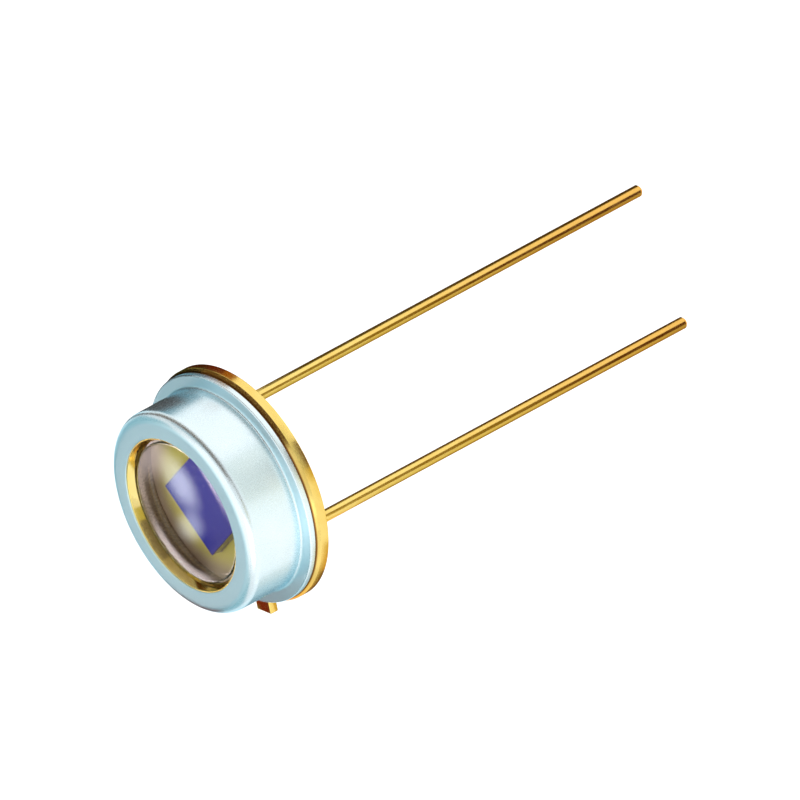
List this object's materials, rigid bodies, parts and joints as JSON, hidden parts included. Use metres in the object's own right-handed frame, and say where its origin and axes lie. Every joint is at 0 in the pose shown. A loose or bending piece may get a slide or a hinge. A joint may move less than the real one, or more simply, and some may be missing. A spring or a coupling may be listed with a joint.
{
  "type": "photodiode",
  "caption": "Photodiode in a round metal can: gold-plated header with index tab and wire leads, drawn cap with a glass window over a square silicon chip.",
  "frame": {"origin": "centre of the header's seating plane, on the can's axis", "axes": "+Z out of the window along the can's axis, leads along -Z, anode lead at +X, cathode lead at -X"},
  "size_m": [0.0092, 0.0092, 0.0235],
  "materials": {
    "gold_plate": "gold plating on a stamped iron-nickel-cobalt header",
    "lead_gold": "gold plating on drawn wire",
    "bead_glass": "dark fused sealing glass",
    "die_attach": "silver-filled bonding layer",
    "coated_silicon": "polished silicon with a blue-violet anti-reflection coating",
    "nickel_plate": "bright nickel plating on a drawn steel cap",
    "seal_gold": "reflowed gold-coloured solder",
    "window_glass": "polished clear glass"
  },
  "bodies": {
    "root": {"header": "gold_plate", "glass_bead": "bead_glass", "anode_lead": "lead_gold", "cathode_lead": "lead_gold", "cathode_braze": "gold_plate", "die_attach": "die_attach", "photodiode_chip": "coated_silicon", "bond_wire": "lead_gold", "cap": "nickel_plate", "window_seal": "seal_gold", "window": "window_glass"}
  },
  "joints": []
}
